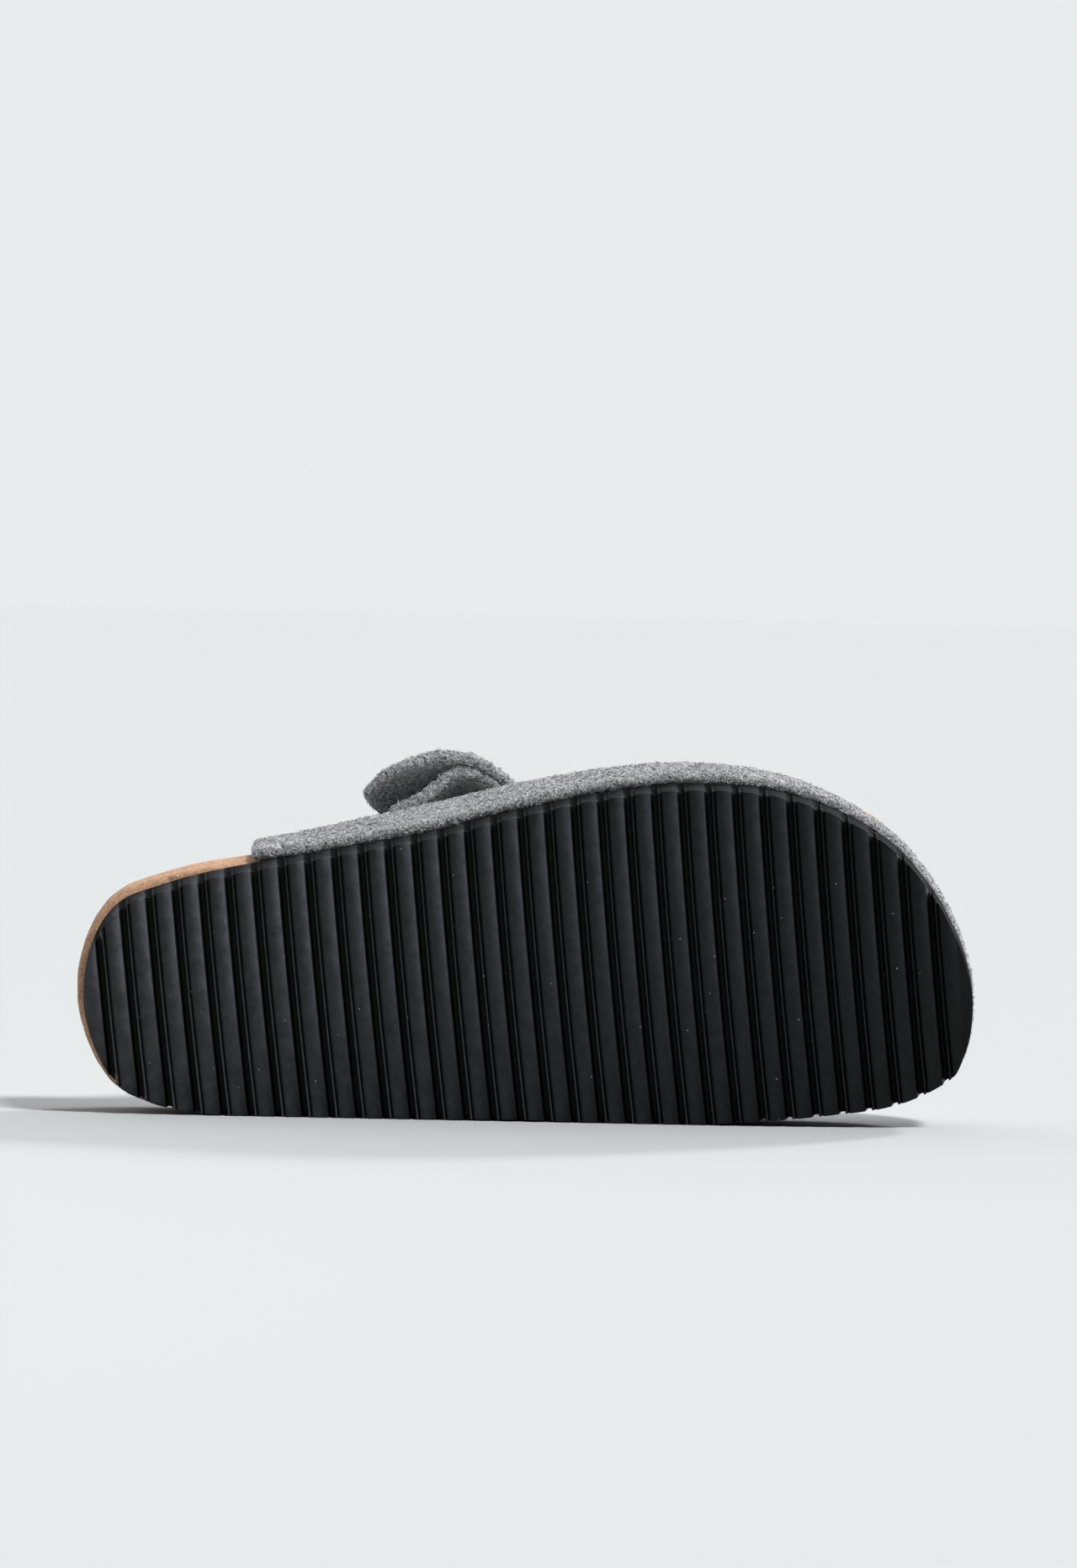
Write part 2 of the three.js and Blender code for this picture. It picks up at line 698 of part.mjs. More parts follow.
function buckleFrame(seat) {
  const innerWidth = strapWidth + 2 * buckleClearance;
  const outerWidth = innerWidth + 2 * buckleWire;
  const frame = roundedRectangle(
    new THREE.Shape(), outerWidth, seat.length + buckleWire, buckleWire + buckleCorner);
  frame.holes.push(roundedRectangle(
    new THREE.Path(), innerWidth, seat.length - buckleWire, buckleCorner));
  return new THREE.ExtrudeGeometry(frame, { depth: buckleWire, bevelEnabled: false, curveSegments: 4 });
}

function buckleProng(seat) {
  const outline = roundedRectangle(
    new THREE.Shape(), prongWidth, seat.length + buckleWire, prongWidth / 2 - prongFlat);
  const options = { depth: prongThickness, bevelEnabled: false, curveSegments: 3 };
  return new THREE.ExtrudeGeometry(outline, options);
}

const felt = new THREE.MeshStandardMaterial({ color: 0x75777a, roughness: 0.95, metalness: 0 });
const foam = new THREE.MeshStandardMaterial({ color: 0x1b1b1d, roughness: 0.55, metalness: 0 });
const cork = new THREE.MeshStandardMaterial({ color: 0xb98a62, roughness: 0.85, metalness: 0 });
const lining = new THREE.MeshStandardMaterial({ color: 0x8c8074, roughness: 0.95, metalness: 0 });
const metal = new THREE.MeshStandardMaterial({ color: 0x55565a, roughness: 0.35, metalness: 1 });

function part(name, geometry, material) {
  const mesh = new THREE.Mesh(geometry, material);
  mesh.name = name;
  return mesh;
}

const shoe = new THREE.Group();
shoe.add(part('outsole', geometryOf(solidOf(outsole())), foam));
shoe.add(part('footbed', geometryOf(footbed()), cork));
shoe.add(part('insole', geometryOf(insole()), lining));
shoe.add(part('upper', geometryOf(upper()), felt));
shoe.add(part('instep_strap', geometryOf(instepStrap()), felt));
shoe.add(part('buckle_tab', geometryOf(buckleTab()), felt));

const seat = buckleSeat();
const buckle = new THREE.Group();
buckle.quaternion.setFromRotationMatrix(seat.basis);
buckle.position.copy(seat.centre);
const prong = part('buckle_prong', buckleProng(seat), metal);
prong.position.z = buckleWire + fitGap;
buckle.add(part('buckle_frame', buckleFrame(seat), metal));
buckle.add(prong);
shoe.add(buckle);

// The corners of every piece, in the shoe's own frame
function cornersOf(group) {
  group.updateMatrixWorld(true);
  const corners = [];
  group.traverse((mesh) => {
    if (!mesh.isMesh) return;
    const place = mesh.geometry.attributes.position;
    for (let corner = 0; corner < place.count; corner += 1) {
      corners.push(new THREE.Vector3().fromBufferAttribute(place, corner).applyMatrix4(mesh.matrixWorld));
    }
  });
  return corners;
}

// The middle of the shoe's volume
function middleOf(group) {
  const sum = new THREE.Vector3();
  let volume = 0;
  group.traverse((mesh) => {
    if (!mesh.isMesh) return;
    const geometry = mesh.geometry.clone().applyMatrix4(mesh.matrixWorld);
    const flat = geometry.index ? geometry.toNonIndexed() : geometry;
    const place = flat.attributes.position;
    for (let corner = 0; corner < place.count; corner += 3) {
      const [a, b, c] = [0, 1, 2].map((step) => (
        new THREE.Vector3().fromBufferAttribute(place, corner + step)));
      const share = a.dot(b.clone().cross(c)) / 6;
      volume += share;
      sum.add(a.add(b).add(c).multiplyScalar(share / 4));
    }
  });
  return sum.divideScalar(volume);
}

// The face of the shoe's hull, on its medial side, that its weight stands over
function restingNormal(group) {
  const hull = new ConvexHull().setFromPoints(cornersOf(group));
  const medial = new THREE.Vector3(0, 1, 0);
  const medialShare = 0.8;
  const ray = new THREE.Ray(middleOf(group));
  let resting = null;
  for (const face of hull.faces) {
    const edges = [face.edge, face.edge.next, face.edge.next.next];
    const [a, b, c] = edges.map((edge) => edge.head().point);
    ray.direction.copy(face.normal);
    const facesMedially = face.normal.dot(medial) > medialShare;
    if (facesMedially && ray.intersectTriangle(a, b, c, false, new THREE.Vector3())) {
      resting = face.normal.clone();
    }
  }
  return resting;
}

// Laid down: the resting face points down, and the toe stays towards +x
const down = restingNormal(shoe);
const heading = new THREE.Vector3(1, 0, 0).addScaledVector(down, -down.x).normalize();
const upward = down.clone().negate();
const away = upward.clone().cross(heading);
const toFloor = new THREE.Matrix4().makeBasis(heading, away, upward).transpose();
shoe.quaternion.setFromRotationMatrix(toFloor);

const lying = new THREE.Group();
lying.add(shoe);
const box = new THREE.Box3().setFromPoints(cornersOf(lying));
const centre = box.getCenter(new THREE.Vector3());
lying.position.set(-centre.x, -centre.y, -box.min.z);

export default lying;
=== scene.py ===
# A right-foot felt mule clog lying on its medial side, its tread turned to the camera.
# Lengths are in metres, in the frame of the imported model.

import json
import math

import bpy
import numpy as np
from mathutils import Matrix, Vector


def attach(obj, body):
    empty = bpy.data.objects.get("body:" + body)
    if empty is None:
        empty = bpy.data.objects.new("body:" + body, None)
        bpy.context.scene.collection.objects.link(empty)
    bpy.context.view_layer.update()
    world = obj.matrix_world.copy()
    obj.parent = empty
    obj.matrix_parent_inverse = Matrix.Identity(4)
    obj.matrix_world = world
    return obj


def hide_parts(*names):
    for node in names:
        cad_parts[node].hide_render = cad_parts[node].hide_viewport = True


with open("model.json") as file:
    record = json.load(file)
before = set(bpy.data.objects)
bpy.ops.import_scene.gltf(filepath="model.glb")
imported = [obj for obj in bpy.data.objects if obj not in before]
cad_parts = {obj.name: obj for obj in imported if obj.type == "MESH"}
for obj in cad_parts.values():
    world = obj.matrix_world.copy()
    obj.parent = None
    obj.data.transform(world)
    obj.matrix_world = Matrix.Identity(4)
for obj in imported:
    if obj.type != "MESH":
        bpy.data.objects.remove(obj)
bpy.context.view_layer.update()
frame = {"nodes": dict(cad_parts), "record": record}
mm = 0.001

# Outsole
# Black foam cut from sheet to the outline of the shoe, and glued under the cork.
# Slanted ripple bars run out through its side, each with a crest at its toe side and a small ridge
# at its foot. Light is painted on the bars as a paler grey, strongest at the heel and fading to the
# toe.
sole_thickness = 14 * mm
sole_length = 284.6 * mm
edge_flare = 0.9 * mm
toe_spring = 6 * mm
spring_start = 0.66
bar_pitch = 8.545 * mm
first_groove = 7.6 * mm
bar_slant = math.tan(math.radians(5.4))
bar_curve_radius = 2.0
lateral_flute = 1.5 * mm
medial_flute = 0.4 * mm
flute_start = 0.5 * mm
flute_run = 2 * mm
end_rounding = 0.35 * mm
end_rounding_reach = 0.5 * mm
heel_mount_x = 38.5 * mm
foam_black = (0.003, 0.003, 0.003, 1)
# The paler grey below is painted light, put where light falls on the bars.
foam_painted_lit = (0.100, 0.104, 0.116, 1)
lint_grey = (0.30, 0.30, 0.31, 1)
foam_gloss = 0.11
# Painted light: strongest at the heel, less towards the toe, and a third of it on the sides.
painted_light_at_heel = 1.25
painted_light_lost_to_toe = 1.15
side_painted_light = 1 / 3
rim_tolerance = 0.05 * mm
outline_points = 1440
outline_softening = 12
sharp_edge = math.radians(50)
lint_radius = 0.035
tread_points = 33
side_climbs = (0.06, 0.5, 1)
ring_size = tread_points + 2 * len(side_climbs)
end_steps = np.array([0.01, 0.06, 0.2, 0.5, 1.0, 2.0, 3.5]) * mm
# The rows at the heel and toe ends carry a little painted light too.
plain_row = {"medial": 0, "lateral": 0, "medial_painted_light": 0.22, "lateral_painted_light": 0.3}

# One ripple from the crest's edge over the groove, the small ridge and the bar, in millimetres.
# The bar rises to its toe side near the lateral edge and falls off there near the medial edge.
# The two painted light columns give how much paler grey is painted there as light falling on the bar.
ripple = [
    {"run": -1.45, "lateral": 0.06, "medial": 0.55, "lateral_painted_light": 0.75, "medial_painted_light": 0.03},
    {"run": -1.25, "lateral": 0.45, "medial": 1.00, "lateral_painted_light": 0.12, "medial_painted_light": 0.00},
    {"run": -0.50, "lateral": 5.00, "medial": 5.00, "lateral_painted_light": 0.00, "medial_painted_light": 0.00},
    {"run": 0.60, "lateral": 5.00, "medial": 5.00, "lateral_painted_light": 0.00, "medial_painted_light": 0.00},
    {"run": 0.78, "lateral": 1.40, "medial": 1.20, "lateral_painted_light": 0.00, "medial_painted_light": 0.06},
    {"run": 0.95, "lateral": 0.85, "medial": 0.60, "lateral_painted_light": 0.08, "medial_painted_light": 0.28},
    {"run": 1.20, "lateral": 0.68, "medial": 0.40, "lateral_painted_light": 0.15, "medial_painted_light": 0.47},
    {"run": 1.50, "lateral": 0.85, "medial": 0.55, "lateral_painted_light": 0.10, "medial_painted_light": 0.38},
    {"run": 1.68, "lateral": 1.20, "medial": 1.00, "lateral_painted_light": 0.02, "medial_painted_light": 0.12},
    {"run": 1.95, "lateral": 1.35, "medial": 1.15, "lateral_painted_light": 0.00, "medial_painted_light": 0.05},
    {"run": 2.20, "lateral": 1.15, "medial": 0.80, "lateral_painted_light": 0.06, "medial_painted_light": 0.15},
    {"run": 2.45, "lateral": 0.80, "medial": 0.35, "lateral_painted_light": 0.14, "medial_painted_light": 0.28},
    {"run": 2.85, "lateral": 0.60, "medial": 0.16, "lateral_painted_light": 0.17, "medial_painted_light": 0.30},
    {"run": 3.50, "lateral": 0.55, "medial": 0.10, "lateral_painted_light": 0.19, "medial_painted_light": 0.28},
    {"run": 4.30, "lateral": 0.50, "medial": 0.08, "lateral_painted_light": 0.27, "medial_painted_light": 0.26},
    {"run": 5.10, "lateral": 0.38, "medial": 0.10, "lateral_painted_light": 0.50, "medial_painted_light": 0.20},
    {"run": 5.80, "lateral": 0.22, "medial": 0.18, "lateral_painted_light": 0.72, "medial_painted_light": 0.12},
    {"run": 6.40, "lateral": 0.08, "medial": 0.30, "lateral_painted_light": 0.92, "medial_painted_light": 0.06},
    {"run": 6.85, "lateral": 0.00, "medial": 0.42, "lateral_painted_light": 1.00, "medial_painted_light": 0.04},
]

# The shoe is described upright: x from heel to toe, lateral to the outer side, height from tread.
# Both tread mounts lie on the sole's middle line, and their axis points out of the tread.
mounts = {mount["name"]: mount for mount in frame["record"]["mounts"]}
shoe_up = -Vector(mounts["tread_heel"]["axis"]).normalized()
heel_spot = Vector(mounts["tread_heel"]["pos_m"])
ball_spot = Vector(mounts["tread_ball"]["pos_m"])
way = ball_spot - heel_spot
shoe_ahead = (way - shoe_up * way.dot(shoe_up)).normalized()
shoe_lateral = shoe_ahead.cross(shoe_up)
shoe_origin = heel_spot - shoe_ahead * heel_mount_x
shoe_axes = np.array([shoe_ahead, shoe_lateral, shoe_up])


def to_shoe(points):
    return (np.asarray(points) - np.array(shoe_origin)) @ shoe_axes.T


def from_shoe(points):
    return np.asarray(points) @ shoe_axes + np.array(shoe_origin)


def mesh_points(mesh):
    flat = np.zeros(len(mesh.vertices) * 3)
    mesh.vertices.foreach_get("co", flat)
    return flat.reshape(-1, 3)


def new_piece(name, points, faces):
    mesh = bpy.data.meshes.new(name)
    mesh.from_pydata([tuple(point) for point in points], [], faces)
    mesh.validate()
    piece = bpy.data.objects.new(name, mesh)
    bpy.context.scene.collection.objects.link(piece)
    mesh.shade_smooth()
    return piece


def add_values(mesh, name, values):
    """Gives every point of a mesh a value that a material can read."""
    mesh.attributes.new(name, "FLOAT", "POINT").data.foreach_set("value", values)


def spring_height(x):
    run = np.maximum(0, x / sole_length - spring_start) / (1 - spring_start)
    return toe_spring * run * run


def line_x(start, lateral):
    """Where a bar's slanted, slightly curved line lies at a lateral place."""
    return start - bar_slant * lateral + lateral * lateral / (2 * bar_curve_radius)


def blend(row, column, across):
    """A ripple row's value over the sole's width, from the medial to the lateral end."""
    medial = row["medial" + column]
    return medial + (row["lateral" + column] - medial) * across


def sole_outline(node):
    """The outsole's top edge, as points in order round the shoe."""
    points = to_shoe(mesh_points(frame["nodes"][node].data))
    height = points[:, 2] - spring_height(points[:, 0])
    rim = np.unique(points[height > sole_thickness - rim_tolerance][:, :2].round(6), axis=0)
    centre = rim.mean(axis=0)
    angle = np.arctan2(rim[:, 1] - centre[1], rim[:, 0] - centre[0])
    rim = rim[np.argsort(angle)]
    angle = np.sort(angle)
    turns = np.linspace(-math.pi, math.pi, outline_points + 1)[:-1]
    rounded = np.stack([np.interp(turns, angle, rim[:, side], period=2 * math.pi)
                        for side in (0, 1)], axis=1)
    for _ in range(outline_softening):
        rounded = (np.roll(rounded, 1, 0) + 2 * rounded + np.roll(rounded, -1, 0)) / 4
    return rounded


def moved_in(outline, distance):
    """The outline shrunk by a distance."""
    tangent = np.roll(outline, -1, 0) - np.roll(outline, 1, 0)
    normal = np.stack([tangent[:, 1], -tangent[:, 0]], axis=1)
    normal /= np.linalg.norm(normal, axis=1)[:, None]
    return outline - normal * distance


def line_ends(outline, start):
    """Lateral places where one bar line crosses an outline: medial end, lateral end."""
    lateral = outline[:, 1]
    ahead = outline[:, 0] - line_x(start, lateral)
    following = np.roll(ahead, -1)
    hits = np.nonzero((ahead < 0) != (following < 0))[0]
    share = ahead[hits] / (ahead[hits] - following[hits])
    places = lateral[hits] + share * (np.roll(lateral, -1)[hits] - lateral[hits])
    return (places.min(), places.max()) if len(places) > 1 else None


def ripple_rows(tread):
    """Every row from heel to toe, as the place of its line and its ripple row."""
    bars = []
    groove = first_groove
    while groove < sole_length - bar_pitch:
        bars += [(groove + row["run"] * mm, row) for row in ripple]
        groove += bar_pitch
    places = tread[:, 0] - line_x(0, tread[:, 1])
    heel = [(places.min() + step, plain_row) for step in end_steps]
    toe = [(places.max() - step, plain_row) for step in reversed(end_steps)]
    inner = [bar for bar in bars if heel[-1][0] < bar[0] < toe[0][0]]
    return heel + inner + toe


def sole_ring(start, row, low, top_start, high):
    """One ring round the foam, over the tread and up both sides, with the painted light of its
    points.
    """
    depth = blend(row, "", 0.5) * mm
    share = depth / sole_thickness
    fluted = min(1, max(0, depth - flute_start) / flute_run)
    ends = [low[0] + (high[0] - low[0]) * share + medial_flute * fluted,
            low[1] + (high[1] - low[1]) * share - lateral_flute * fluted]
    across = np.sin(np.linspace(-0.5, 0.5, tread_points) * math.pi) / 2 + 0.5
    to_end = np.minimum(across, 1 - across) * (ends[1] - ends[0])
    rounding = end_rounding * (1 - min(1, depth / mm))
    drop = rounding * np.exp(-(to_end / end_rounding_reach) ** 2)
    laterals = ends[0] + (ends[1] - ends[0]) * across
    xs = line_x(start + (top_start - start) * share, laterals)
    heights = blend(row, "", across) * mm + drop + spring_height(xs)
    ring = [np.stack([xs, laterals, heights], axis=1)]
    climbs = [(1, climb) for climb in side_climbs] + [(0, climb) for climb in side_climbs[::-1]]
    for side, climb in climbs:
        reach = share + (1 - share) * climb
        lateral = ends[side] + (high[side] - ends[side]) * climb
        x = line_x(start + (top_start - start) * reach, lateral)
        ring.append([[x, lateral, sole_thickness * reach + spring_height(x)]])
    # Painted light: a paler grey where light falls on the bar, strongest at the heel.
    painted_light = blend(row, "_painted_light", across) * (painted_light_at_heel - painted_light_lost_to_toe * xs / sole_length)
    at_side = np.repeat([painted_light[-1], painted_light[0]], len(side_climbs)) * side_painted_light
    return np.concatenate(ring), np.append(painted_light, at_side)


def outsole_mesh():
    """The foam as rings from heel to toe: its points, its faces and the painted light of each point.
    """
    outline = sole_outline("outsole")
    tread = moved_in(outline, edge_flare)
    middle = sole_length / 2
    grow = middle / (middle - edge_flare)
    rings = []
    for start, row in ripple_rows(tread):
        top_start = middle + (start - middle) * grow
        low = line_ends(tread, start)
        high = line_ends(outline, top_start)
        if low and high:
            rings.append(sole_ring(start, row, low, top_start, high))
    faces = []
    for ring in range(len(rings) - 1):
        for side in range(ring_size):
            a = ring * ring_size + side
            b = ring * ring_size + (side + 1) % ring_size
            faces.append((a, a + ring_size, b + ring_size, b))
    last = (len(rings) - 1) * ring_size
    faces.append(tuple(range(ring_size)))
    faces.append(tuple(reversed(range(last, last + ring_size))))
    points, painted_light = (np.concatenate(column) for column in zip(*rings))
    return from_shoe(points), faces, painted_light


def set_inputs(node, values):
    for title, value in values.items():
        node.inputs[title].default_value = value
    return node


def add_node(tree, kind, values):
    return set_inputs(tree.nodes.new(kind), values)


def add_group(tree, group, values):
    node = tree.nodes.new("ShaderNodeGroup")
    node.node_tree = group
    return set_inputs(node, values)


def new_group(name, inputs, outputs):
    """An empty node group with named sockets, and its input and output nodes."""
    group = bpy.data.node_groups.new(name, "ShaderNodeTree")
    for title, kind in inputs.items():
        group.interface.new_socket(title, in_out="INPUT", socket_type=kind)
    for title, kind in outputs.items():
        group.interface.new_socket(title, in_out="OUTPUT", socket_type=kind)
    return group, group.nodes.new("NodeGroupInput"), group.nodes.new("NodeGroupOutput")


def new_material(name, values):
    """A material, with its node tree and its shader, whose plain values are set."""
    material = bpy.data.materials.new(name)
    material.use_nodes = True
    tree = material.node_tree
    return material, tree, set_inputs(tree.nodes["Principled BSDF"], values)


def grain_group():
    """Fine noise over a surface, as a mask and as the normal of the dents that it makes."""
    sizes = dict.fromkeys(("Scale", "Detail", "Roughness", "Strength", "Distance"), "NodeSocketFloat")
    made = {"Height": "NodeSocketFloat", "Normal": "NodeSocketVector"}
    group, given, result = new_group("grain", sizes, made)
    place = group.nodes.new("ShaderNodeTexCoord")
    noise = group.nodes.new("ShaderNodeTexNoise")
    dent = group.nodes.new("ShaderNodeBump")
    group.links.new(place.outputs["Object"], noise.inputs["Vector"])
    for title in ("Scale", "Detail", "Roughness"):
        group.links.new(given.outputs[title], noise.inputs[title])
    for title in ("Strength", "Distance"):
        group.links.new(given.outputs[title], dent.inputs[title])
    group.links.new(noise.outputs["Fac"], dent.inputs["Height"])
    group.links.new(noise.outputs["Fac"], result.inputs["Height"])
    group.links.new(dent.outputs["Normal"], result.inputs["Normal"])
    return group


def two_tone_group():
    """A mix of two colours, which turns from dark to light between two tones."""
    sockets = dict.fromkeys(("Tone", "Low", "High"), "NodeSocketFloat")
    sockets.update(dict.fromkeys(("Dark", "Light"), "NodeSocketColor"))
    group, given, result = new_group("two_tone", sockets, {"Color": "NodeSocketColor"})
    spread = group.nodes.new("ShaderNodeMapRange")
    mixed = group.nodes.new("ShaderNodeMix")
    mixed.data_type = "RGBA"
    group.links.new(given.outputs["Tone"], spread.inputs["Value"])
    group.links.new(given.outputs["Low"], spread.inputs["From Min"])
    group.links.new(given.outputs["High"], spread.inputs["From Max"])
    group.links.new(spread.outputs["Result"], mixed.inputs["Factor"])
    group.links.new(given.outputs["Dark"], mixed.inputs["A"])
    group.links.new(given.outputs["Light"], mixed.inputs["B"])
    group.links.new(mixed.outputs["Result"], result.inputs["Color"])
    return group


grain = grain_group()
two_tone = two_tone_group()

sole_points, sole_faces, sole_painted_light = outsole_mesh()
outsole = new_piece("foam_outsole", sole_points, sole_faces)
outsole.data.set_sharp_from_angle(angle=sharp_edge)
on_side = np.arange(len(sole_points)) % ring_size >= tread_points
add_values(outsole.data, "ground", on_side.astype(float))
# The painted light of each point, which the foam's colour reads.
add_values(outsole.data, "painted_light", sole_painted_light)

# The painted light on the bars is made uneven by noise, lint sticks to the foam, and the ground sides
# are duller than the tread.
foam, tree, shader = new_material("foam_black", {"Specular IOR Level": foam_gloss})
# The foam's colour is black, with painted light mixed in as a paler grey where the attribute says.
painted_light = tree.nodes.new("ShaderNodeAttribute")
painted_light.attribute_name = "painted_light"
place = tree.nodes.new("ShaderNodeTexCoord")
mottle = add_node(tree, "ShaderNodeTexNoise", {"Scale": 260, "Detail": 5, "Roughness": 0.7})
uneven_span = {"From Min": 0.3, "From Max": 0.7, "To Min": 0.65, "To Max": 1.35}
uneven = add_node(tree, "ShaderNodeMapRange", uneven_span)
uneven_painted_light = tree.nodes.new("ShaderNodeMath")
uneven_painted_light.operation = "MULTIPLY"
painted_lit_span = {"Low": 0, "High": 1, "Dark": foam_black, "Light": foam_painted_lit}
painted_lit = add_group(tree, two_tone, painted_lit_span)
lint_cells = add_node(tree, "ShaderNodeTexVoronoi", {"Scale": 170})
lint = tree.nodes.new("ShaderNodeMath")
lint.operation = "LESS_THAN"
lint.inputs[1].default_value = lint_radius
specked = add_group(tree, two_tone, {"Low": 0, "High": 1, "Light": lint_grey})
side = tree.nodes.new("ShaderNodeAttribute")
side.attribute_name = "ground"
dulled = add_node(tree, "ShaderNodeMapRange", {"To Min": 0.36, "To Max": 0.95})
foam_grain = {"Scale": 1800, "Detail": 3, "Roughness": 0.5, "Strength": 0.25, "Distance": 0.1 * mm}
pores = add_group(tree, grain, foam_grain)
tree.links.new(place.outputs["Object"], mottle.inputs["Vector"])
tree.links.new(mottle.outputs["Fac"], uneven.inputs["Value"])
tree.links.new(painted_light.outputs["Fac"], uneven_painted_light.inputs[0])
tree.links.new(uneven.outputs["Result"], uneven_painted_light.inputs[1])
tree.links.new(uneven_painted_light.outputs["Value"], painted_lit.inputs["Tone"])
tree.links.new(place.outputs["Object"], lint_cells.inputs["Vector"])
tree.links.new(lint_cells.outputs["Distance"], lint.inputs[0])
tree.links.new(lint.outputs["Value"], specked.inputs["Tone"])
tree.links.new(painted_lit.outputs["Color"], specked.inputs["Dark"])
tree.links.new(specked.outputs["Color"], shader.inputs["Base Color"])
tree.links.new(side.outputs["Fac"], dulled.inputs["Value"])
tree.links.new(dulled.outputs["Result"], shader.inputs["Roughness"])
tree.links.new(pores.outputs["Normal"], shader.inputs["Normal"])
outsole.data.materials.append(foam)
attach(outsole, "root")
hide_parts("outsole")

# Footbed
# Ground cork pressed to shape, bare at the heel and under the felt from the waist forwards.
# It is glued on the foam, and its side stands a little over the outsole's edge.
cork_voxel = 1.4 * mm
cork_softening = 6
cork_dark = (0.30, 0.16, 0.09, 1)
cork_light = (0.66, 0.40, 0.25, 1)


def softened(node, name, voxel, rounds, relief=None):
    """A copy of a plain solid on an even fine mesh, its facets smoothed away."""
    piece = bpy.data.objects.new(name, frame["nodes"][node].data.copy())
    piece.data.name = name
    piece.data.materials.clear()
    bpy.context.scene.collection.objects.link(piece)
    even = piece.modifiers.new("even", "REMESH")
    even.mode = "VOXEL"
    even.voxel_size = voxel
    smooth = piece.modifiers.new("smooth", "SMOOTH")
    smooth.factor = 0.5
    smooth.iterations = rounds
    if relief:
        pebbles = piece.modifiers.new("pebbles", "DISPLACE")
        pebbles.texture = bpy.data.textures.new(name, "CLOUDS")
        pebbles.texture.noise_scale = relief["spread"]
        pebbles.texture.noise_depth = 2
        pebbles.strength = relief["height"]
        pebbles.mid_level = relief["rest"]
    graph = bpy.context.evaluated_depsgraph_get()
    piece.data = bpy.data.meshes.new_from_object(piece.evaluated_get(graph))
    piece.modifiers.clear()
    piece.data.shade_smooth()
    return piece


cork, tree, shader = new_material("cork", {"Roughness": 0.75})
place = tree.nodes.new("ShaderNodeTexCoord")
granules = add_node(tree, "ShaderNodeTexVoronoi", {"Scale": 1700})
cork_tones = {"Low": 0, "High": 1, "Dark": cork_dark, "Light": cork_light}
tint = add_group(tree, two_tone, cork_tones)
dent = add_node(tree, "ShaderNodeBump", {"Strength": 0.4, "Distance": 0.15 * mm})
tree.links.new(place.outputs["Object"], granules.inputs["Vector"])
tree.links.new(granules.outputs["Color"], tint.inputs["Tone"])
tree.links.new(tint.outputs["Color"], shader.inputs["Base Color"])
tree.links.new(granules.outputs["Distance"], dent.inputs["Height"])
tree.links.new(dent.outputs["Normal"], shader.inputs["Normal"])

footbed = softened("footbed", "cork_footbed", cork_voxel, cork_softening)
footbed.data.materials.append(cork)
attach(footbed, "root")
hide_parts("footbed")

# Insole
# A sheet of napped lining, glued over the top of the cork.
# It stops a little short of the cork's rim.
insole_voxel = 1.05 * mm
insole_softening = 4
lining_dark = (0.17, 0.145, 0.115, 1)
lining_light = (0.38, 0.335, 0.275, 1)

lining, tree, shader = new_material("lining", {"Roughness": 0.95, "Sheen Weight": 0.3})
nap_grain = {"Scale": 700, "Detail": 6, "Roughness": 0.8, "Strength": 0.5, "Distance": 0.3 * mm}
nap = add_group(tree, grain, nap_grain)
lining_tones = {"Low": 0.3, "High": 0.7, "Dark": lining_dark, "Light": lining_light}
tint = add_group(tree, two_tone, lining_tones)
tree.links.new(nap.outputs["Height"], tint.inputs["Tone"])
tree.links.new(tint.outputs["Color"], shader.inputs["Base Color"])
tree.links.new(nap.outputs["Normal"], shader.inputs["Normal"])

insole = softened("insole", "insole_lining", insole_voxel, insole_softening)
insole.data.materials.append(lining)
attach(insole, "root")
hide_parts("insole")

# Upper
# Thick boiled wool felt in mixed greys, one shell over toe and instep, glued down round the cork.
# Its face is pebbled and bristles with short crimped hairs, and a foot has folded it over the toes.
upper_voxel = 1.1 * mm
upper_softening = 5
felt_relief = {"spread": 1.8 * mm, "height": 0.9 * mm, "rest": -0.15}
felt_dark = (0.022, 0.023, 0.026, 1)
felt_light = (0.88, 0.88, 0.91, 1)
fleck_cream = (0.72, 0.64, 0.52, 1)
fold_centre = 12 * mm
fold_reach = 36 * mm
fold_foot = 34 * mm
fold_fade = 10 * mm
foot_height = 45 * mm
toe_start = 0.8 * sole_length
toe_pull = 2
upper_hairs = 60000
hair_layers = 2
fleck_hairs = 500
fleck_seed = 21
fleck_place = np.array([251.5, 55.0, 22.5]) * mm
fleck_radius = 1.9 * mm
hair_length = 1.5 * mm
hair_width = 0.15 * mm
shortest_half = 0.3
half_range = 0.4
lowest_rise = 0.12
rise_range = 0.5
tip_drop = 0.3
curl_spread = 0.9
hair_points = 5
lock_size = 0.5 * mm
lock_count = 4096
lock_primes = [7919, 104729, 1299709]
own_tones = (0.7, 0.5)
lock_tones = (0.5, 0.35)
own_share = 0.35

# Soft folds over the toes, where the foot bends the felt: a place on the sole's middle line, the
# slant across it, the half width and the depth, in millimetres. A depth below 0 is a ridge.
folds = [
    {"x": 212, "slant": 0.22, "spread": 5.0, "depth": 1.5},
    {"x": 203, "slant": 0.20, "spread": 4.0, "depth": -0.8},
    {"x": 194, "slant": 0.16, "spread": 5.5, "depth": 1.7},
    {"x": 184, "slant": 0.14, "spread": 4.5, "depth": -0.8},
    {"x": 175, "slant": 0.10, "spread": 5.0, "depth": 1.2},
]


